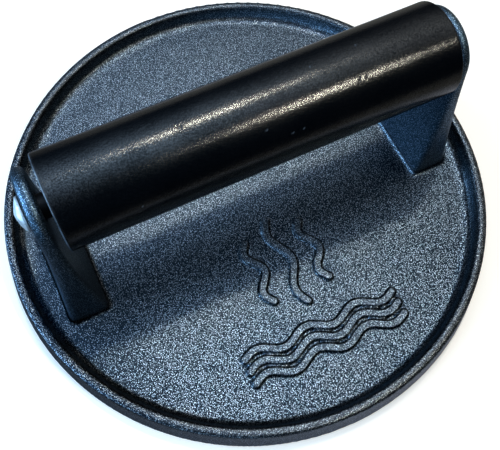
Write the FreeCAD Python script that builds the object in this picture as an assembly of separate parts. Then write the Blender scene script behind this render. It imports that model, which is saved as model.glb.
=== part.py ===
"""Round cast-iron bacon press with a wooden grip on a steel cross rod.

Units are millimetres. The origin is the centre of the flat underside, +Z points up, and
the handle runs along X. The casting is the plate with its rim, two uprights and a raised
pattern on its floor; the rod crosses both uprights, and the grip turns and slides on it.
"""

import FreeCAD, Part
import math
import os

from FreeCAD import Vector

# Plate and rim
plate_radius = 90.0
rim_height = 10.0
rim_draft = 1.8               # how far the outer wall leans in between the underside and the rim
rim_band = 2.9                # width of the top of the rim before its corners are rounded
rim_inner_lean = 1.8          # how far the inner wall runs inwards on its way to the floor
floor_height = 4.3
rim_outer_round = 1.1
rim_inner_round = 0.7
underside_corner_round = 0.8
floor_corner_round = 3.3

# Handle axis, rod and grip
axis_height = 56.6
rod_radius = 4.0
running_clearance = 0.1       # radial gap around the rod in the uprights and in the grip
grip_radius = 15.4
grip_length = 131.0
grip_end_play = 2.0           # the grip's free travel along the rod
grip_edge_round = 0.5
head_radius = 5.7
head_height = 2.8
head_rim = 0.8                # height of the straight edge under the domed top of a rod head
head_gap = 0.15               # gap between a rod head and the nearest point of its upright

# Uprights: half-widths seen along X, and face distances from the middle seen along Y
ear_radius = 13.2
foot_half_width = 18.6
inner_face_at_foot = 61.6
outer_face_at_foot = 75.9
inner_face_at_top = 67.0
outer_face_at_top = 71.4
outer_face_below_grip = 72.4
upright_outer_round = 2.4     # along the edges of the outer face
upright_inner_round = 1.8     # along the edges of the inner face
foot_fillet = 1.8
root_depth = 2.0              # how far an upright reaches down into the plate before joining it

# Raised pattern on the floor: one wavy rasher with three lines of steam over it
pattern_height = 1.3
ridge_width = 2.6
rasher_centre = (1.5, -60.0)
rasher_length = 58.0
rasher_waves = 3
rasher_swing = 1.8
rasher_ridge_pitch = 4.4
steam_centre = (2.0, -29.0)
steam_lengths = (24.0, 34.0, 24.0)
steam_pitch = 11.0
steam_waves = 1.5
steam_swing = 2.2
points_per_wave = 8

grip_right_end = grip_length / 2 + grip_end_play / 2
grip_low_edge = axis_height - grip_radius
inner_face_below_grip = grip_right_end + running_clearance
upright_top = axis_height + ear_radius
root_level = floor_height - root_depth


def rounded_profile(corners):
    """Closed wire in the XZ plane through (x, z, radius) corners, each rounded to its radius."""
    edges = []
    count = len(corners)
    starts = []
    ends = []
    for index, (x, z, radius) in enumerate(corners):
        here = Vector(x, 0, z)
        before = Vector(corners[index - 1][0], 0, corners[index - 1][1]) - here
        after = Vector(corners[(index + 1) % count][0], 0, corners[(index + 1) % count][1]) - here
        half_angle = before.getAngle(after) / 2
        before.normalize()
        after.normalize()
        setback = radius / math.tan(half_angle)
        start = here + before * setback
        end = here + after * setback
        if radius > 0:
            to_centre = (before + after).normalize()
            nearest = here + to_centre * (radius / math.sin(half_angle) - radius)
            edges.append(Part.Arc(start, nearest, end).toShape())
        starts.append(start)
        ends.append(end)
    for index in range(count):
        edges.append(Part.makeLine(ends[index], starts[(index + 1) % count]))
    return Part.Wire(Part.__sortEdges__(edges))


def make_plate():
    """Flat round plate with a raised, drafted rim."""
    rim_outer = plate_radius - rim_draft
    rim_inner = rim_outer - rim_band
    profile = rounded_profile([
        (0, 0, 0),
        (plate_radius, 0, underside_corner_round),
        (rim_outer, rim_height, rim_outer_round),
        (rim_inner, rim_height, rim_inner_round),
        (rim_inner - rim_inner_lean, floor_height, floor_corner_round),
        (0, floor_height, 0),
    ])
    return Part.Face(profile).revolve(Vector(0, 0, 0), Vector(0, 0, 1), 360)


def upright_outline():
    """Face in the YZ plane: a round ear whose tangents spread down through the foot."""
    foot_drop = axis_height - floor_height
    reach = math.hypot(foot_half_width, foot_drop)
    tangent_angle = math.acos(ear_radius / reach) - math.atan2(foot_drop, foot_half_width)
    tangent_y = ear_radius * math.cos(tangent_angle)
    tangent_z = axis_height + ear_radius * math.sin(tangent_angle)
    spread = (foot_half_width - tangent_y) / (tangent_z - floor_height)
    root_half_width = foot_half_width + spread * root_depth
    right = Vector(0, tangent_y, tangent_z)
    left = Vector(0, -tangent_y, tangent_z)
    root_right = Vector(0, root_half_width, root_level)
    root_left = Vector(0, -root_half_width, root_level)
    edges = [
        Part.Arc(left, Vector(0, 0, upright_top), right).toShape(),
        Part.makeLine(right, root_right),
        Part.makeLine(root_right, root_left),
        Part.makeLine(root_left, left),
    ]
    return Part.Face(Part.Wire(edges))


def crossings(curve, height):
    """Points where a curve in the XZ plane crosses a height."""
    level = Part.Line(Vector(0, 0, height), Vector(1, 0, height))
    return [Vector(point.X, 0, point.Z) for point in curve.intersect(level)]


def upright_face(at_foot, below_grip, at_top):
    """Hollow curve of an upright's face in the XZ plane, from its root to its top."""
    foot = Vector(at_foot, 0, floor_height)
    middle = Vector(below_grip, 0, grip_low_edge)
    top = Vector(at_top, 0, upright_top)
    root = min(crossings(Part.Circle(foot, middle, top), root_level), key=foot.distanceToPoint)
    return Part.Arc(root, middle, top)


inner_face = upright_face(inner_face_at_foot, inner_face_below_grip, inner_face_at_top)
outer_face = upright_face(outer_face_at_foot, outer_face_below_grip, outer_face_at_top)


def upright_section():
    """Face in the XZ plane between the two faces of an upright."""
    inner_edge = inner_face.toShape()
    outer_edge = outer_face.toShape()
    edges = [
        inner_edge,
        Part.makeLine(inner_edge.lastVertex().Point, outer_edge.lastVertex().Point),
        outer_edge,
        Part.makeLine(outer_edge.firstVertex().Point, inner_edge.firstVertex().Point),
    ]
    return Part.Face(Part.Wire(Part.__sortEdges__(edges)))


def edges_along(upright, face):
    """Edges of an upright that run along one of its two faces."""
    curve = face.toShape()
    found = []
    for edge in upright.Edges:
        middle = edge.valueAt((edge.FirstParameter + edge.LastParameter) / 2)
        off_the_face = curve.distToShape(Part.Vertex(middle.x, 0, middle.z))[0]
        if middle.z > floor_height and off_the_face < 0.01:
            found.append(edge)
    return found


def make_upright():
    """One upright on the +X side, with the edges of both faces rounded."""
    broad = upright_outline().extrude(Vector(2 * plate_radius, 0, 0))
    section = upright_section()
    section.translate(Vector(0, -plate_radius, 0))
    narrow = section.extrude(Vector(0, 2 * plate_radius, 0))
    upright = broad.common(narrow).removeSplitter()
    upright = upright.makeFillet(upright_outer_round, edges_along(upright, outer_face))
    return upright.makeFillet(upright_inner_round, edges_along(upright, inner_face))


def foot_edges(shape):
    """Edges where the uprights stand on the floor of the plate."""
    found = []
    for edge in shape.Edges:
        box = edge.BoundBox
        on_floor = abs(box.ZMin - floor_height) < 1e-4 and abs(box.ZMax - floor_height) < 1e-4
        under_an_upright = max(abs(box.XMin), abs(box.XMax)) < outer_face_at_foot + 1
        if on_floor and under_an_upright:
            found.append(edge)
    return found


def wavy_ridge(centre, length, waves, swing, along_y=False):
    """Raised ridge that follows a sine wave, as a solid standing on the floor."""
    count = int(waves * points_per_wave) + 1
    sides = {1: [], -1: []}
    for index in range(count):
        run = length * (index / (count - 1) - 0.5)
        phase = 2 * math.pi * waves * index / (count - 1)
        slope = swing * math.cos(phase) * 2 * math.pi * waves / length
        stretch = math.hypot(1, slope)
        for side, points in sides.items():
            offset = side * ridge_width / 2
            u = run - offset * slope / stretch
            v = swing * math.sin(phase) + offset / stretch
            if along_y:
                u, v = -v, u
            points.append(Vector(centre[0] + u, centre[1] + v, floor_height))
    edges = []
    for points in sides.values():
        curve = Part.BSplineCurve()
        curve.interpolate(points)
        edges.append(curve.toShape())
    for end in (0, -1):
        left, right = sides[1][end], sides[-1][end]
        middle = (left + right) / 2
        inner_neighbour = (sides[1][1 if end == 0 else -2] + sides[-1][1 if end == 0 else -2]) / 2
        tip = middle + (middle - inner_neighbour).normalize() * (ridge_width / 2)
        edges.append(Part.Arc(left, tip, right).toShape())
    outline = Part.Wire(Part.__sortEdges__(edges))
    ridge = Part.Face(outline).extrude(Vector(0, 0, pattern_height + 1))
    ridge.translate(Vector(0, 0, -1))
    return ridge


def make_pattern():
    """All the ridges of the raised pattern."""
    ridges = []
    for step in (-1, 0, 1):
        centre = (rasher_centre[0], rasher_centre[1] + step * rasher_ridge_pitch)
        ridges.append(wavy_ridge(centre, rasher_length, rasher_waves, rasher_swing))
    for step, length in zip((-1, 0, 1), steam_lengths):
        centre = (steam_centre[0] + step * steam_pitch, steam_centre[1])
        ridges.append(wavy_ridge(centre, length, steam_waves, steam_swing, along_y=True))
    return ridges


def make_casting():
    """Plate, rim, uprights and raised pattern as the single casting that they are."""
    right = make_upright()
    left = right.mirror(Vector(0, 0, 0), Vector(1, 0, 0))
    casting = make_plate().fuse([right, left])
    casting = casting.makeFillet(foot_fillet, foot_edges(casting))
    rod_hole = Part.makeCylinder(rod_radius + running_clearance, 2 * plate_radius,
                                 Vector(-plate_radius, 0, axis_height), Vector(1, 0, 0))
    casting = casting.cut(rod_hole)
    return casting.fuse(make_pattern()).removeSplitter()


def make_rod():
    """Cross rod with a domed head outside each upright, which keep it in place."""
    nearest = max(point.x for point in crossings(outer_face, axis_height - head_radius))
    seat = nearest + head_gap
    rim = seat + head_rim
    crown = seat + head_height
    dome_height = crown - rim
    dome_radius = (head_radius ** 2 + dome_height ** 2) / (2 * dome_height)
    half_angle = math.asin(head_radius / dome_radius) / 2
    on_dome = Vector(crown - dome_radius * (1 - math.cos(half_angle)), 0,
                     dome_radius * math.sin(half_angle))
    half = [
        Part.makeLine(Vector(0, 0, 0), Vector(0, 0, rod_radius)),
        Part.makeLine(Vector(0, 0, rod_radius), Vector(seat, 0, rod_radius)),
        Part.makeLine(Vector(seat, 0, rod_radius), Vector(seat, 0, head_radius)),
        Part.makeLine(Vector(seat, 0, head_radius), Vector(rim, 0, head_radius)),
        Part.Arc(Vector(rim, 0, head_radius), on_dome, Vector(crown, 0, 0)).toShape(),
        Part.makeLine(Vector(crown, 0, 0), Vector(0, 0, 0)),
    ]
    right = Part.Face(Part.Wire(half)).revolve(Vector(0, 0, 0), Vector(1, 0, 0), 360)
    left = right.mirror(Vector(0, 0, 0), Vector(1, 0, 0))
    rod = right.fuse(left).removeSplitter()
    rod.translate(Vector(0, 0, axis_height))
    return rod


def make_grip():
    """Plain turned cylinder, bored through, resting against the right-hand upright."""
    start = Vector(grip_right_end - grip_length, 0, axis_height)
    along = Vector(1, 0, 0)
    body = Part.makeCylinder(grip_radius, grip_length, start, along)
    body = body.makeFillet(grip_edge_round, [edge for edge in body.Edges if edge.Closed])
    bore = Part.makeCylinder(rod_radius + running_clearance, grip_length, start, along)
    return body.cut(bore)


def single_solid(shape):
    """The one solid that a piece is made of."""
    if len(shape.Solids) != 1:
        raise ValueError("a piece must be one solid, not %d" % len(shape.Solids))
    return shape.Solids[0]


os.makedirs("parts", exist_ok=True)
pieces = {
    "press_casting": make_casting(),
    "handle_rod": make_rod(),
    "handle_grip": make_grip(),
}
for name, shape in pieces.items():
    single_solid(shape).exportStep("parts/%s.step" % name)
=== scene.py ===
"""Looks of the round bacon press: a pebbled black iron casting, a painted wooden grip and a steel rod.

The casting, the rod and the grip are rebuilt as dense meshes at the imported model's own sizes, and
each gets its own procedural material. Lengths are in metres, unless a comment says otherwise. The
press is seen from the front left: X runs along its handle, and Y away from the viewer.
"""

import math

import bmesh
import bpy
import numpy as np
from mathutils import Matrix, Vector, noise
from mathutils.bvhtree import BVHTree


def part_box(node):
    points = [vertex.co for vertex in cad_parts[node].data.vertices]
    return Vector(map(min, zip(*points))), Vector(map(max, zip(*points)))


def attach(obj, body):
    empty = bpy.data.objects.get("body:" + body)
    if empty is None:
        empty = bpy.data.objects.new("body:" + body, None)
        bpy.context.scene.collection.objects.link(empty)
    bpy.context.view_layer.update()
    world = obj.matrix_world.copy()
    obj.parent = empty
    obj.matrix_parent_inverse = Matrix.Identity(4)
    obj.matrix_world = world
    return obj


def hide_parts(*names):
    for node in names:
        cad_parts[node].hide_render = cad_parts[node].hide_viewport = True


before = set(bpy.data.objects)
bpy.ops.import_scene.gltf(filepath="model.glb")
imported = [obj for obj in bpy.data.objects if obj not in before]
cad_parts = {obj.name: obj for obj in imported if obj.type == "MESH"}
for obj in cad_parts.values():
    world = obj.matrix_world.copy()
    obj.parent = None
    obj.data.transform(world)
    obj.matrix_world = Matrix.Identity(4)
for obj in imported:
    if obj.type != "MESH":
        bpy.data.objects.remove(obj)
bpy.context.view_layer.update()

MM = 0.001

# Places that the frame gives
casting_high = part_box("press_casting")[1]
grip_low, grip_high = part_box("handle_grip")
rod_low, rod_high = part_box("handle_rod")
axis_height = (grip_low.z + grip_high.z) / 2
grip_radius = (grip_high.z - grip_low.z) / 2
head_radius = (rod_high.z - rod_low.z) / 2
plate_radius = casting_high.x

# Sizes inside the pieces, which the frame's boxes don't show
FLOOR_HEIGHT = 4.3 * MM
RIM_INNER_RADIUS = 84 * MM
ROD_RADIUS = 4 * MM
ROD_HEAD_HEIGHT = 2.8 * MM
ROD_HEAD_RIM = 0.8 * MM
EAR_BORE_RADIUS = 4.1 * MM
GRIP_BORE_RADIUS = 4.1 * MM
GRIP_EASED_EDGE = 0.5 * MM


# ---------------------------------------------------------------- mesh helpers

def new_object(name, mesh, body, node):
    """A finished piece that rides on its body and stands for its CAD node."""
    piece = bpy.data.objects.new(name, mesh)
    bpy.context.scene.collection.objects.link(piece)
    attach(piece, body)
    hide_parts(node)
    return piece


def with_modifier(mesh, kind, settings, group=()):
    """A copy of a mesh after one modifier, which can be limited to a group of vertices."""
    carrier = bpy.data.objects.new("carrier", mesh)
    bpy.context.scene.collection.objects.link(carrier)
    modifier = carrier.modifiers.new("modifier", kind)
    for name, value in settings.items():
        setattr(modifier, name, value)
    if len(group):
        carrier.vertex_groups.new(name="group").add([int(index) for index in group], 1.0, "REPLACE")
        modifier.vertex_group = "group"
    graph = bpy.context.evaluated_depsgraph_get()
    changed = bpy.data.meshes.new_from_object(carrier.evaluated_get(graph))
    bpy.data.objects.remove(carrier)
    return changed


def positions(mesh):
    """Vertex positions as an array of rows."""
    flat = np.empty(len(mesh.vertices) * 3, np.float32)
    mesh.vertices.foreach_get("co", flat)
    return flat.reshape(-1, 3).astype(float)


def normals(mesh):
    """Vertex normals as an array of rows."""
    flat = np.empty(len(mesh.vertices) * 3, np.float32)
    mesh.vertex_normals.foreach_get("vector", flat)
    return flat.reshape(-1, 3).astype(float)


def set_positions(mesh, points):
    """Writes vertex positions back to the mesh."""
    mesh.vertices.foreach_set("co", points.astype(np.float32).ravel())
    mesh.update()


def set_attribute(mesh, name, values):
    """Stores one number per vertex, for a material to read."""
    attribute = mesh.attributes.new(name, "FLOAT", "POINT")
    attribute.data.foreach_set("value", values.astype(np.float32))


def smooth_shading(mesh):
    """Shades every face smoothly."""
    mesh.polygons.foreach_set("use_smooth", [True] * len(mesh.polygons))


def smoothstep(low, high, values):
    """0 below low, 1 above high, and a smooth ramp between them."""
    ramp = np.clip((values - low) / (high - low), 0, 1)
    return ramp * ramp * (3 - 2 * ramp)


def noise_field(points, wavelength, seed, stretch=(1, 1, 1)):
    """Smooth noise of about -1 to 1 at each point."""
    scaled = points / wavelength / np.array(stretch) + seed
    return np.array([noise.noise(Vector(p)) for p in scaled])


def plate_distance(points):
    """Distance of each point from the plate's middle line."""
    return np.hypot(points[:, 0], points[:, 1])


def handle_distance(points):
    """Distance of each point from the handle's axis."""
    return np.hypot(points[:, 1], points[:, 2] - axis_height)


# ---------------------------------------------------------------- casting

VOXEL = 0.78 * MM               # size of the faces on the casting
UNDERSIDE_KEPT = 0.03           # share of the faces that stay on the flat underside

PATTERN_HEIGHT = 1.3 * MM
PATTERN_REACH = 54 * MM         # the raised pattern stays this near the middle, clear of the uprights
PATTERN_TO_RIM = 5 * MM         # and at least this far inside the rim

PEBBLE_WAVELENGTH, PEBBLE_HEIGHT = 1.9 * MM, 0.022 * MM
LUMP_WAVELENGTH, LUMP_HEIGHT = 5 * MM, 0.02 * MM
SWAY_WAVELENGTH, SWAY_HEIGHT = 32 * MM, 0.12 * MM
WALL_GRAIN = 0.55               # strength of the grain on the walls and the uprights; the floor has 1

EAR_FACE_DEPTH = 0.02 * MM      # the ears are sunk by this near the handle, which stays clear of them
BORE_CLEARANCE = 0.15 * MM      # the ears' bores are opened by this, so that the rod stays clear


def thin_underside(mesh):
    """Thins the flat underside, where no grain has to be carried."""
    points = positions(mesh)
    flat = (points[:, 2] < 0.3 * MM) & (plate_distance(points) < plate_radius - 2 * MM)
    ratio = 1 - flat.mean() * (1 - UNDERSIDE_KEPT)
    return with_modifier(mesh, "DECIMATE", {"ratio": ratio}, np.flatnonzero(flat))


def refine_pattern(mesh):
    """Splits the faces of the raised pattern, so that its ridges keep crisp edges."""
    shape = bmesh.new()
    shape.from_mesh(mesh)
    low, high = FLOOR_HEIGHT + 0.1 * MM, FLOOR_HEIGHT + PATTERN_HEIGHT + VOXEL

    def on_pattern(vertex):
        x, y, z = vertex.co
        inside = abs(x) < PATTERN_REACH and math.hypot(x, y) < RIM_INNER_RADIUS - PATTERN_TO_RIM
        return inside and low < z < high

    marked = [edge for edge in shape.edges if on_pattern(edge.verts[0]) or on_pattern(edge.verts[1])]
    bmesh.ops.subdivide_edges(shape, edges=marked, cuts=1, use_grid_fill=True)
    shape.to_mesh(mesh)
    shape.free()


def fit_to_node(mesh, node):
    """Moves every vertex to the nearest point of a CAD node's surface."""
    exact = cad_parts[node].data
    tree = BVHTree.FromPolygons([vertex.co for vertex in exact.vertices],
                                [list(face.vertices) for face in exact.polygons])
    points = positions(mesh)
    for index, point in enumerate(points):
        points[index] = tree.find_nearest(Vector(point))[0]
    set_positions(mesh, points)


def casting_grain(points):
    """How strongly the sand grain shows: full on the floor and the rim, weaker on walls and uprights."""
    height = points[:, 2]
    on_floor = 1 - smoothstep(FLOOR_HEIGHT + 0.6 * MM, FLOOR_HEIGHT + 3 * MM, height)
    on_rim = smoothstep(RIM_INNER_RADIUS + 0.3 * MM, RIM_INNER_RADIUS + 1.2 * MM, plate_distance(points))
    grain = WALL_GRAIN + (1 - WALL_GRAIN) * np.maximum(on_floor, on_rim)
    return grain * smoothstep(0.2 * MM, 1.5 * MM, height)


def casting_level(points):
    """1 on the level floor inside the rim, and 0 on the rim, the walls and the uprights."""
    on_floor = 1 - smoothstep(FLOOR_HEIGHT + 0.2 * MM, FLOOR_HEIGHT + 2 * MM, points[:, 2])
    return on_floor * (1 - smoothstep(RIM_INNER_RADIUS - 2 * MM, RIM_INNER_RADIUS, plate_distance(points)))


def casting_relief(points, grain):
    """Height of the uneven surface: grain, a slow sway above the underside, and calm ears."""
    pebble = PEBBLE_HEIGHT * noise_field(points, PEBBLE_WAVELENGTH, seed=0.0)
    lump = LUMP_HEIGHT * noise_field(points, LUMP_WAVELENGTH, seed=31.0)
    sway = SWAY_HEIGHT * noise_field(points, SWAY_WAVELENGTH, seed=57.0)
    relief = grain * (pebble + lump) + sway * smoothstep(0.2 * MM, 3 * MM, points[:, 2])
    beyond_grip = smoothstep(grip_radius + 1 * MM, grip_radius + 3 * MM, handle_distance(points))
    return relief * beyond_grip - (1 - beyond_grip) * EAR_FACE_DEPTH


def open_bores(points):
    """Moves the walls of the ears' bores out to a clear radius."""
    clear = EAR_BORE_RADIUS + BORE_CLEARANCE
    across = handle_distance(points)
    inside = across < clear
    growth = clear / across[inside]
    points[inside, 1] *= growth
    points[inside, 2] = axis_height + (points[inside, 2] - axis_height) * growth


def make_casting():
    """Plate, rim and uprights with the uneven, pebbled surface of a sand casting."""
    even = with_modifier(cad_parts["press_casting"].data.copy(), "REMESH",
                         {"mode": "VOXEL", "voxel_size": VOXEL})
    mesh = thin_underside(even)
    refine_pattern(mesh)
    fit_to_node(mesh, "press_casting")
    points = positions(mesh)
    grain = casting_grain(points)
    level = casting_level(points)
    points += normals(mesh) * casting_relief(points, grain)[:, None]
    open_bores(points)
    set_positions(mesh, points)
    smooth_shading(mesh)
    set_attribute(mesh, "grain", grain)
    set_attribute(mesh, "level", level)
    mesh.materials.clear()
    mesh.materials.append(iron_material())
    return new_object("press_casting_iron", mesh, "press", "press_casting")


# ---------------------------------------------------------------- turned pieces

def lathe(name, profile, segments):
    """Mesh turned about the handle's axis from (x, radius) points; a radius of 0 closes an end."""
    closed = profile[0] == profile[-1]
    vertices = []
    rings = []
    for x, radius in profile[:-1] if closed else profile:
        if radius == 0:
            rings.append([len(vertices)])
            vertices.append((x, 0, axis_height))
            continue
        rings.append(range(len(vertices), len(vertices) + segments))
        for step in range(segments):
            angle = 2 * math.pi * step / segments
            vertices.append((x, -radius * math.cos(angle), axis_height + radius * math.sin(angle)))
    if closed:
        rings.append(rings[0])
    faces = []
    for first, second in zip(rings, rings[1:]):
        for step in range(segments):
            following = (step + 1) % segments
            if len(first) == 1:
                faces.append((first[0], second[following], second[step]))
            elif len(second) == 1:
                faces.append((first[step], first[following], second[0]))
            else:
                faces.append((first[step], first[following], second[following], second[step]))
    mesh = bpy.data.meshes.new(name)
    mesh.from_pydata(vertices, [], faces)
    mesh.validate()
    shape = bmesh.new()
    shape.from_mesh(mesh)
    bmesh.ops.recalc_face_normals(shape, faces=shape.faces)
    shape.to_mesh(mesh)
    shape.free()
    return mesh


def arc_points(centre, radius, start, end, steps):
    """Points (x, radius) along an arc, with angles in degrees from the +X direction."""
    found = []
    for step in range(steps + 1):
        angle = math.radians(start + (end - start) * step / steps)
        found.append((centre[0] + radius * math.cos(angle), centre[1] + radius * math.sin(angle)))
    return found


def spaced(start, end, steps):
    """Evenly spaced numbers from start to end, without the end."""
    return [start + (end - start) * step / steps for step in range(steps)]


# ---------------------------------------------------------------- grip

GRIP_SEGMENTS = 224
GRIP_RING_SPACING = 0.5 * MM
SCRATCHED_RING_SPACING = 0.15 * MM
SCRATCHED_STRETCHES = [(-24.5 * MM, -22 * MM), (30.5 * MM, 35 * MM)]

# Marks on the grip, in millimetres: scratches from one point to another, and specks
# where the paint is chipped. A point is a distance along the handle and a distance around the grip,
# from its top towards the back.
SCRATCHES = [((31.1, -9.4), (32.1, -7.1)), ((33.7, -8.7), (34.3, -7.5)),
             ((-24.0, -0.9), (-23.2, -2.3)), ((-23.2, -2.3), (-22.5, -1.2))]
CHIPS = [(-41.0, -19.4), (7.3, -15.6), (10.9, -15.6), (-0.2, -11.6), (35.7, 2.4), (19.7, 1.1)]
SCRATCH_DEPTH = 0.1 * MM
CHIP_DEPTH = 0.04 * MM
CHIP_WEAR = 0.4                 # how pale a chip is, against 1 for fully worn paint

LATHE_WAVE = 0.04 * MM
LATHE_RIPPLE = 0.008 * MM


def grip_profile():
    """Outline of the bored grip: left end, side, right end, and back through the bore."""
    low, high = grip_low.x, grip_high.x
    edge = grip_radius - GRIP_EASED_EDGE
    left, right = low + GRIP_EASED_EDGE, high - GRIP_EASED_EDGE
    stretches = []
    place = left
    for start, end in SCRATCHED_STRETCHES:
        stretches += [(place, start, GRIP_RING_SPACING), (start, end, SCRATCHED_RING_SPACING)]
        place = end
    stretches.append((place, right, GRIP_RING_SPACING))

    profile = [(low, r) for r in spaced(GRIP_BORE_RADIUS, edge, 24)]
    profile += arc_points((left, edge), GRIP_EASED_EDGE, 180, 90, 5)
    for start, end, spacing in stretches:
        profile += [(x, grip_radius) for x in spaced(start, end, round((end - start) / spacing))]
    profile += arc_points((right, edge), GRIP_EASED_EDGE, 90, 0, 5)
    profile += [(high, r) for r in spaced(edge, GRIP_BORE_RADIUS, 24)[1:]]
    profile += [(x, GRIP_BORE_RADIUS) for x in spaced(high, low, 12)]
    profile.append(profile[0])
    return profile


def distance_to_line(along, around, line):
    """Distance from each point to a line, all in millimetres on the unrolled grip."""
    (x0, y0), (x1, y1) = line
    share = ((along - x0) * (x1 - x0) + (around - y0) * (y1 - y0)) / ((x1 - x0) ** 2 + (y1 - y0) ** 2)
    share = np.clip(share, 0, 1)
    return np.hypot(along - x0 - share * (x1 - x0), around - y0 - share * (y1 - y0))


def grip_marks(points):
    """How deep each point lies in a scratch and in a chip, both from 0 to 1."""
    along = points[:, 0] / MM
    around = np.arctan2(points[:, 1], points[:, 2] - axis_height) * grip_radius / MM
    scratched = np.zeros(len(points))
    for line in SCRATCHES:
        scratched = np.maximum(scratched, 1 - smoothstep(0.08, 0.34, distance_to_line(along, around, line)))
    chipped = np.zeros(len(points))
    for x, y in CHIPS:
        chipped = np.maximum(chipped, 1 - smoothstep(0.15, 0.4, np.hypot(along - x, around - y)))
    return scratched, chipped


def worn_left_edge(points):
    """Flaking paint around the grip's left edge, from 0 to 1."""
    near_end = 1 - smoothstep(0.15 * MM, 0.6 * MM, points[:, 0] - grip_low.x)
    near_side = smoothstep(grip_radius - 1.1 * MM, grip_radius - 0.6 * MM, handle_distance(points))
    flaking = 0.5 + 0.5 * noise_field(points, 2.5 * MM, seed=21.0)
    return near_end * near_side * flaking


def make_grip():
    """Turned cylinder with eased ends, slight waviness from the lathe, scratches and chips."""
    mesh = lathe("grip", grip_profile(), GRIP_SEGMENTS)
    points = positions(mesh)
    on_side = smoothstep(grip_radius - 0.6 * MM, grip_radius - 0.1 * MM, handle_distance(points))
    wave = LATHE_WAVE * noise_field(points, 26 * MM, seed=11.0, stretch=(1.6, 1, 1))
    ripple = LATHE_RIPPLE * noise_field(points, 3.2 * MM, seed=5.0, stretch=(2.5, 1, 1))
    scratched, chipped = grip_marks(points)
    relief = on_side * (wave + ripple - SCRATCH_DEPTH * scratched - CHIP_DEPTH * chipped)
    points += normals(mesh) * relief[:, None]
    set_positions(mesh, points)
    smooth_shading(mesh)
    set_attribute(mesh, "worn", np.maximum(worn_left_edge(points), CHIP_WEAR * chipped * on_side))
    mesh.materials.append(paint_material())
    return new_object("grip_painted_wood", mesh, "grip", "handle_grip")


# ---------------------------------------------------------------- rod

ROD_SEGMENTS = 96
DOME_RINGS = 28
ROD_CLEARANCE = 0.02 * MM       # the rod is thinned by this, so that it stays clear of its holes
HAMMER_FACETS = 0.28 * MM       # height of the uneven facets on the left head
HAMMER_DENTS = 0.35 * MM        # depth of the dents on the left head
PLAIN_FACETS = 0.08 * MM        # height of the facets on the right head
HIGHEST_FACET = 0.1 * MM


def head_profile():
    """Outline of the right head, from its seat against the ear to its crown."""
    dome_height = ROD_HEAD_HEIGHT - ROD_HEAD_RIM
    dome_radius = (head_radius ** 2 + dome_height ** 2) / (2 * dome_height)
    half_angle = math.asin(head_radius / dome_radius)
    crown = rod_high.x
    seat = crown - ROD_HEAD_HEIGHT
    profile = [(seat, r) for r in spaced(ROD_RADIUS, head_radius, 6)]
    profile += [(x, head_radius) for x in spaced(seat, seat + ROD_HEAD_RIM, 4)]
    for angle in spaced(half_angle, 0, DOME_RINGS):
        profile.append((crown - dome_radius * (1 - math.cos(angle)), dome_radius * math.sin(angle)))
    profile.append((crown, 0))
    return profile


def make_rod():
    """Steel rod whose left head is peened by hammer and whose right head is a plainer dome."""
    right = head_profile()
    left = [(-x, r) for x, r in reversed(right)]
    seat = right[0][0]
    shaft = [(x, ROD_RADIUS) for x in spaced(-seat, seat, 60)[1:]]
    mesh = lathe("rod", left + shaft + right, ROD_SEGMENTS)
    points = positions(mesh)
    on_left_head = 1 - smoothstep(-seat - 0.3 * MM, -seat - 0.05 * MM, points[:, 0])
    on_right_head = smoothstep(seat + 0.1 * MM, seat + 0.6 * MM, points[:, 0])
    facets = noise_field(points, 2.6 * MM, seed=3.0)
    dents = -np.abs(noise_field(points, 3.4 * MM, seed=8.0))
    hammered = on_left_head * (HAMMER_FACETS * facets + HAMMER_DENTS * dents)
    relief = hammered + on_right_head * PLAIN_FACETS * facets - ROD_CLEARANCE
    points += normals(mesh) * np.minimum(relief, HIGHEST_FACET)[:, None]
    set_positions(mesh, points)
    smooth_shading(mesh)
    set_attribute(mesh, "bright", np.maximum(on_left_head, on_right_head))
    mesh.materials.append(steel_material())
    return new_object("rod_steel_peened", mesh, "rod", "handle_rod")


# ---------------------------------------------------------------- node helpers

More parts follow.
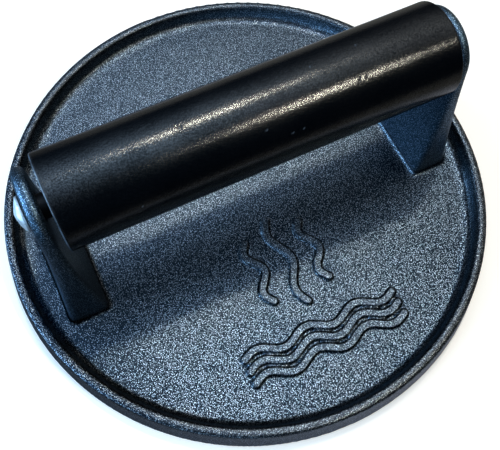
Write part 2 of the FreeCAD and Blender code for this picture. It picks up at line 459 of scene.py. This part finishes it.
class Nodes:
    """Short forms for building a node tree."""

    def __init__(self, tree, coordinates="Object"):
        self.tree = tree
        self.place = self.add("ShaderNodeTexCoord").outputs[coordinates]

    def add(self, kind, **settings):
        node = self.tree.nodes.new(kind)
        for key, value in settings.items():
            setattr(node, key, value)
        return node

    def link(self, source, target):
        self.tree.links.new(source, target)

    def put(self, value, target):
        """Links an output to an input, or sets the input; a colour is given without its alpha."""
        if isinstance(value, bpy.types.NodeSocket):
            self.link(value, target)
        elif target.type == "RGBA":
            target.default_value = (*value, 1)
        else:
            target.default_value = value

    def along(self, axis):
        """The coordinate along one axis."""
        apart = self.add("ShaderNodeSeparateXYZ")
        self.link(self.place, apart.inputs[0])
        return apart.outputs[axis]

    def from_origin(self):
        """Distance from the origin."""
        length = self.add("ShaderNodeVectorMath", operation="LENGTH")
        self.link(self.place, length.inputs[0])
        return length.outputs["Value"]

    def stretched(self, scale):
        """Coordinates scaled by a different amount along each axis."""
        mapping = self.add("ShaderNodeMapping")
        self.link(self.place, mapping.inputs["Vector"])
        mapping.inputs["Scale"].default_value = scale
        return mapping.outputs["Vector"]

    def noise(self, wavelength, detail, roughness=0.5, where=None):
        """Noise whose features are about one wavelength apart."""
        texture = self.add("ShaderNodeTexNoise")
        self.link(where or self.place, texture.inputs["Vector"])
        texture.inputs["Scale"].default_value = 1 / wavelength
        texture.inputs["Detail"].default_value = detail
        texture.inputs["Roughness"].default_value = roughness
        return texture.outputs["Fac"]

    def cells(self, wavelength, smoothness):
        """Rounded cells about one wavelength apart."""
        texture = self.add("ShaderNodeTexVoronoi", feature="SMOOTH_F1")
        self.link(self.place, texture.inputs["Vector"])
        texture.inputs["Scale"].default_value = 1 / wavelength
        texture.inputs["Smoothness"].default_value = smoothness
        return texture.outputs["Distance"]

    def math(self, operation, first, second=0.0):
        node = self.add("ShaderNodeMath", operation=operation)
        self.put(first, node.inputs[0])
        self.put(second, node.inputs[1])
        return node.outputs[0]

    def remap(self, value, low, high, to_low=0.0, to_high=1.0):
        """Straight ramp from one range to another, clamped."""
        node = self.add("ShaderNodeMapRange")
        self.put(value, node.inputs["Value"])
        node.inputs["From Min"].default_value = low
        node.inputs["From Max"].default_value = high
        node.inputs["To Min"].default_value = to_low
        node.inputs["To Max"].default_value = to_high
        return node.outputs["Result"]

    def mix(self, share, first, second):
        """Mix of two colours."""
        node = self.add("ShaderNodeMix", data_type="RGBA")
        self.put(share, node.inputs["Factor"])
        # Inputs 6 and 7 and output 2 are this node's sockets for colours
        self.put(first, node.inputs[6])
        self.put(second, node.inputs[7])
        return node.outputs[2]

    def scaled(self, colour, share):
        """A colour made darker or brighter."""
        node = self.add("ShaderNodeVectorMath", operation="SCALE")
        self.link(colour, node.inputs[0])
        self.put(share, node.inputs["Scale"])
        return node.outputs[0]

    def seen(self):
        """1 where the camera looks, and 0 in reflections and in the light that surfaces share."""
        return self.add("ShaderNodeLightPath").outputs["Is Camera Ray"]

    def attribute(self, name):
        return self.add("ShaderNodeAttribute", attribute_name=name).outputs["Fac"]

    def bump(self, height, distance, strength=1.0):
        """Bump of a height from 0 to 1 that stands for a real distance."""
        node = self.add("ShaderNodeBump")
        self.link(height, node.inputs["Height"])
        node.inputs["Distance"].default_value = distance
        self.put(strength, node.inputs["Strength"])
        return node.outputs["Normal"]

    def mix_shaders(self, share, first, second, output):
        """Sends a mix of two shaders to the tree's output node."""
        mixed = self.add("ShaderNodeMixShader")
        self.put(share, mixed.inputs[0])
        self.link(first.outputs[0], mixed.inputs[1])
        self.link(second.outputs[0], mixed.inputs[2])
        self.link(mixed.outputs[0], self.tree.nodes[output].inputs["Surface"])


def new_material(name):
    """A material, its nodes and its main shader."""
    material = bpy.data.materials.new(name)
    material.use_nodes = True
    nodes = Nodes(material.node_tree)
    return material, nodes, material.node_tree.nodes["Principled BSDF"]


def fill_in(nodes, shader, settings):
    """Links or sets the named inputs of a shader."""
    for name, value in settings.items():
        nodes.put(value, shader.inputs[name])


# ---------------------------------------------------------------- materials

IRON_PEBBLES = 0.41 * MM
IRON_SAND = 0.26 * MM
IRON_PATCHES = 22 * MM
IRON_BUMP = 0.07 * MM
IRON_SHARPNESS = 3.6            # a higher power leaves fewer and smaller bright tops
# the far left of the floor keeps fewer bright tops: a painted shade beside the left upright
IRON_SHARPNESS_LEFT = 6.2
IRON_IN_REFLECTIONS = 0.4       # share of its colour that the iron keeps in reflections

PAINT_GRIT = 0.5 * MM
PAINT_DAPPLE = 1.4 * MM
PAINT_PATCHES = 14 * MM
PAINT_BUMP = 0.038 * MM

STEEL_SPOTS = 1.1 * MM
STEEL_DENTS = 0.5 * MM
STEEL_BUMP = 0.05 * MM


def iron_tone(nodes, raised, patches):
    """Colour of the seasoned iron: dark hollows, partly painted shade, and tops that years of use rubbed
    bright, partly painted glints.

    The tones are graded by place as painted light and shade. The tops are paler at the front of the
    press than at the back, and the hollows are darker there, as painted glints and painted shade. The
    tops are sparser on the far left of the floor, a painted shade, and the back of the rim is paler
    there, a painted highlight. The walls and the uprights are a little bluer than the rest, a painted
    blue sheen.
    """
    grain = nodes.attribute("grain")
    level = nodes.attribute("level")
    # far_left marks where painted shade on the floor and a painted highlight on the rim go
    far_left = nodes.remap(nodes.along("X"), -52 * MM, -72 * MM)
    # to_back grades the tones from front to back, as painted light and shade
    to_back = nodes.remap(nodes.along("Y"), -50 * MM, 20 * MM)
    tops = nodes.math("POWER", raised, IRON_SHARPNESS)
    # Fewer bright tops on the far left of the floor: painted shade beside the left upright
    sharpness = nodes.remap(far_left, 0, 1, IRON_SHARPNESS, IRON_SHARPNESS_LEFT)
    floor_tops = nodes.math("POWER", raised, sharpness)

    # The floor's tops are paler at the front and its hollows darker there: painted glints and painted shade
    floor_front = nodes.mix(nodes.remap(patches, 0.35, 0.65), (0.62, 0.76, 0.9), (0.68, 0.8, 0.92))
    floor_tops_wear_and_light = nodes.mix(to_back, floor_front, (0.5, 0.58, 0.68))
    floor_hollow_shade = nodes.mix(to_back, (0.004, 0.009, 0.016), (0.022, 0.032, 0.044))
    floor_tone = nodes.mix(floor_tops, floor_hollow_shade, floor_tops_wear_and_light)

    # The back of the rim is paler on the far left, a painted highlight, and its hollows are darker there,
    # painted shade; its front and back tops also differ as painted light
    rim_back_with_highlight = nodes.mix(far_left, (0.45, 0.52, 0.6), (0.6, 0.7, 0.82))
    rim_tops_wear_and_light = nodes.mix(to_back, (0.6, 0.65, 0.7), rim_back_with_highlight)
    rim_hollow_shade = nodes.mix(far_left, (0.03, 0.035, 0.042), (0.006, 0.01, 0.016))
    rim_tone = nodes.mix(tops, rim_hollow_shade, rim_tops_wear_and_light)

    # Bluer walls and uprights: a painted blue sheen over the iron's dark tone
    wall_tone_and_sheen = nodes.mix(tops, (0.042, 0.07, 0.1), (0.5, 0.7, 0.92))
    off_floor = nodes.mix(nodes.remap(grain, 0.6, 1.0), wall_tone_and_sheen, rim_tone)
    return nodes.mix(level, off_floor, floor_tone)


def iron_material():
    """Black seasoned cast iron: a fine sand grain with a blue-grey sheen.

    The level floor has a shader with a tight highlight, so that a lamp's glow stops at the edge of
    the grip's mirror image.
    """
    material, nodes, shader = new_material("seasoned_iron")
    pebbles = nodes.cells(IRON_PEBBLES, smoothness=0.25)
    sand = nodes.noise(IRON_SAND, detail=1.0)
    patches = nodes.noise(IRON_PATCHES, detail=4.0)
    height = nodes.math("SUBTRACT", nodes.math("ADD", 0.75, nodes.math("MULTIPLY", sand, 0.8)), pebbles)
    seen_tone = iron_tone(nodes, nodes.remap(height, 0.5, 1.02), patches)
    tone = nodes.mix(nodes.seen(), nodes.scaled(seen_tone, IRON_IN_REFLECTIONS), seen_tone)
    duller_walls = nodes.remap(nodes.attribute("grain"), WALL_GRAIN, 1.0, 0.12, 0.0)
    roughness = nodes.math("ADD", duller_walls, nodes.remap(patches, 0.3, 0.7, 0.285, 0.32))
    normal = nodes.bump(height, IRON_BUMP, strength=nodes.attribute("grain"))
    fill_in(nodes, shader, {"Base Color": tone, "Metallic": 1.0, "Roughness": roughness, "Normal": normal})
    tight = nodes.add("ShaderNodeBsdfAnisotropic", distribution="BECKMANN")
    fill_in(nodes, tight, {"Color": tone, "Roughness": roughness, "Normal": normal})
    nodes.mix_shaders(nodes.attribute("level"), shader, tight, "Material Output")
    return material


def paint_material():
    """Black paint over turned wood: the lamps' reflections break up on its fine grain."""
    material, nodes, shader = new_material("painted_wood")
    grit = nodes.noise(PAINT_GRIT, detail=1.0, roughness=0.6, where=nodes.stretched((1.6, 1, 1)))
    dapple = nodes.noise(PAINT_DAPPLE, detail=2.0)
    patches = nodes.noise(PAINT_PATCHES, detail=3.0)
    height = nodes.math("ADD", grit, nodes.math("MULTIPLY", dapple, 0.6))
    shine = nodes.math("ADD", grit, nodes.math("MULTIPLY", patches, 0.3))
    fill_in(nodes, shader, {
        "Base Color": nodes.mix(nodes.attribute("worn"), (0.0004, 0.001, 0.002), (0.16, 0.19, 0.23)),
        "Roughness": nodes.remap(patches, 0.3, 0.7, 0.17, 0.2),
        "Specular IOR Level": nodes.remap(shine, 0.52, 0.8, 0.18, 0.74),
        "Normal": nodes.bump(height, PAINT_BUMP),
    })
    return material


def steel_material():
    """Steel that is bright where the heads were hammered, with a near-black shaft that is painted shade for
    the gaps between the grip and the ears.
    """
    material, nodes, shader = new_material("rod_steel")
    spots = nodes.remap(nodes.noise(STEEL_SPOTS, detail=4.0, roughness=0.7), 0.56, 0.7)
    hammered = nodes.mix(spots, (0.94, 0.97, 1.0), (0.35, 0.35, 0.35))
    fill_in(nodes, shader, {
        # the shaft's near-black colour is painted shade in the gaps beside the grip
        "Base Color": nodes.mix(nodes.attribute("bright"), (0.03, 0.03, 0.032), hammered),
        "Metallic": 1.0,
        "Roughness": nodes.remap(spots, 0, 1, 0.52, 0.65),
        "Normal": nodes.bump(nodes.noise(STEEL_DENTS, detail=3.0), STEEL_BUMP),
    })
    return material


# ---------------------------------------------------------------- studio

FLOOR_HALF_WIDTH = 4.0
FLOOR_GAP = 0.05 * MM           # keeps the floor from touching the underside

WARM_WHITE = (1.0, 0.96, 0.8)
WINDOW_BLUE = (0.37, 0.66, 1.0)
DUSK = (1.0, 0.9, 0.75)

DOME_AZIMUTH, DOME_ELEVATION = 30, 75
DOME_FOCUS = 7.5                # a higher value gathers the dome's light around its brightest point
DOME_PEAK = 3.3
DOME_BASE = 0.03
DOME_LEFT = (0.5, 0.72, 1.0)
DOME_RIGHT = (0.44, 0.46, 0.46)
BACKDROP = (0.9, 0.9, 0.9)

CAMERA_SENSOR = 36              # millimetres, as the lens
CAMERA_LENS = 50.36
CAMERA_SHIFT = (0.0038, 0.0306)
CAMERA_AZIMUTH, CAMERA_ELEVATION = 208.96, 67.34
CAMERA_ROLL = 3.4
CAMERA_DISTANCE = 260.75 * MM
CAMERA_AIM = Vector((-6.2 * MM, -14.3 * MM, 0))


def direction(azimuth, elevation):
    """Unit vector; azimuth is measured from +Y towards +X, in degrees."""
    turn, lift = math.radians(azimuth), math.radians(elevation)
    return Vector((math.sin(turn) * math.cos(lift), math.cos(turn) * math.cos(lift), math.sin(lift)))


def floor_in_reflections(nodes):
    """What the press mirrors: a dim, warm floor with painted light, brightest beside the plate and darker
    towards the front and the left.
    """
    beside = nodes.remap(nodes.from_origin(), 130 * MM, 100 * MM)
    colour = nodes.mix(beside, (0.22, 0.18, 0.14), (0.22, 0.21, 0.225))
    # Darker towards the front and the left: painted shade in what the press mirrors
    from_front = nodes.remap(nodes.along("Y"), -220 * MM, -120 * MM, 0.05, 1.0)
    from_left = nodes.remap(nodes.along("X"), -90 * MM, 10 * MM, 0.2, 1.0)
    across = nodes.math("MULTIPLY", from_front, from_left)
    return nodes.scaled(colour, nodes.math("MULTIPLY", across, nodes.remap(beside, 0, 1, 0.9, 2.0)))


def make_floor():
    """Plain pale floor that melts into the backdrop, and that can be looked through from below."""
    mesh = bpy.data.meshes.new("floor")
    half = FLOOR_HALF_WIDTH
    corners = [(-half, -half, 0), (half, -half, 0), (half, half, 0), (-half, half, 0)]
    mesh.from_pydata(corners, [], [(0, 1, 2, 3)])
    floor = bpy.data.objects.new("floor", mesh)
    bpy.context.scene.collection.objects.link(floor)
    floor.location.z = -FLOOR_GAP
    material, nodes, shader = new_material("pale_floor")
    far = nodes.remap(nodes.from_origin(), 0.4, 1.6)
    lit = nodes.mix(far, (0.98, 0.88, 0.78), (0, 0, 0))
    fill_in(nodes, shader, {
        "Base Color": nodes.mix(nodes.seen(), floor_in_reflections(nodes), lit),
        "Roughness": 0.9,
        "Specular IOR Level": 0.1,
        "Emission Color": nodes.mix(far, (1.0, 0.98, 0.94), (1, 1, 1)),
        "Emission Strength": nodes.math("MULTIPLY", nodes.seen(), nodes.remap(far, 0, 1, 0.2, 0.9)),
    })
    from_below = nodes.add("ShaderNodeNewGeometry").outputs["Backfacing"]
    nodes.mix_shaders(from_below, shader, nodes.add("ShaderNodeBsdfTransparent"), "Material Output")
    mesh.materials.append(material)


def make_world():
    """Cool dome that is bright overhead and dim near the horizon; the camera sees a plain backdrop."""
    world = bpy.data.worlds.new("studio")
    bpy.context.scene.world = world
    world.use_nodes = True
    nodes = Nodes(world.node_tree, "Generated")
    alignment = nodes.add("ShaderNodeVectorMath", operation="DOT_PRODUCT")
    nodes.link(nodes.place, alignment.inputs[0])
    alignment.inputs[1].default_value = direction(DOME_AZIMUTH, DOME_ELEVATION)
    falling = nodes.math("MULTIPLY", nodes.math("SUBTRACT", alignment.outputs["Value"], 1.0), DOME_FOCUS)
    lobe = nodes.math("MULTIPLY", nodes.math("EXPONENT", falling), DOME_PEAK)
    dome = world.node_tree.nodes["Background"]
    fill_in(nodes, dome, {
        "Color": nodes.mix(nodes.remap(nodes.along("X"), 0.1, 0.45), DOME_LEFT, DOME_RIGHT),
        "Strength": nodes.math("ADD", lobe, DOME_BASE),
    })
    backdrop = nodes.add("ShaderNodeBackground")
    fill_in(nodes, backdrop, {"Color": BACKDROP})
    nodes.mix_shaders(nodes.seen(), dome, backdrop, "World Output")


def softbox(name, azimuth, elevation, size, radiance, colour, distance=1.4):
    """Rectangular lamp that faces the handle from a given direction."""
    width, height = size
    lamp = bpy.data.lights.new(name, "AREA")
    lamp.shape = "RECTANGLE"
    lamp.size = width
    lamp.size_y = height
    lamp.energy = radiance * math.pi * width * height
    lamp.color = colour
    holder = bpy.data.objects.new(name, lamp)
    bpy.context.scene.collection.objects.link(holder)
    towards = direction(azimuth, elevation)
    holder.location = towards * distance + Vector((0, 0, axis_height))
    holder.rotation_mode = "QUATERNION"
    holder.rotation_quaternion = towards.to_track_quat("Z", "Y")


def make_lamps():
    """Two small warm lamps overhead, blue windows at the left and the front, a faint glow at the right."""
    softbox("lamp_front", 141, 52.5, (0.1, 0.1), 175, WARM_WHITE)
    softbox("lamp_back", 34, 70, (0.1, 0.1), 155, WARM_WHITE)
    softbox("window_left", -78, 18, (1.5, 0.9), 9, WINDOW_BLUE)
    softbox("window_front", -140, 10, (1.0, 0.4), 2.5, WINDOW_BLUE)
    softbox("window_right", 75, 8, (1.2, 0.6), 0.6, DUSK)


def make_camera():
    """Camera above the front left of the press, looking steeply down."""
    data = bpy.data.cameras.new("camera")
    data.sensor_width = CAMERA_SENSOR
    data.lens = CAMERA_LENS
    data.shift_x, data.shift_y = CAMERA_SHIFT
    data.clip_start = 0.01
    data.clip_end = 50
    camera = bpy.data.objects.new("camera", data)
    bpy.context.scene.collection.objects.link(camera)
    towards_camera = direction(CAMERA_AZIMUTH, CAMERA_ELEVATION)
    camera.location = CAMERA_AIM + towards_camera * CAMERA_DISTANCE
    level = towards_camera.to_track_quat("Z", "Y").to_matrix()
    roll = Matrix.Rotation(math.radians(CAMERA_ROLL), 3, "Z")
    camera.rotation_mode = "QUATERNION"
    camera.rotation_quaternion = (level @ roll).to_quaternion()
    bpy.context.scene.camera = camera


make_casting()
make_rod()
make_grip()
make_floor()
make_world()
make_lamps()
make_camera()
bpy.context.scene.view_settings.view_transform = "Standard"
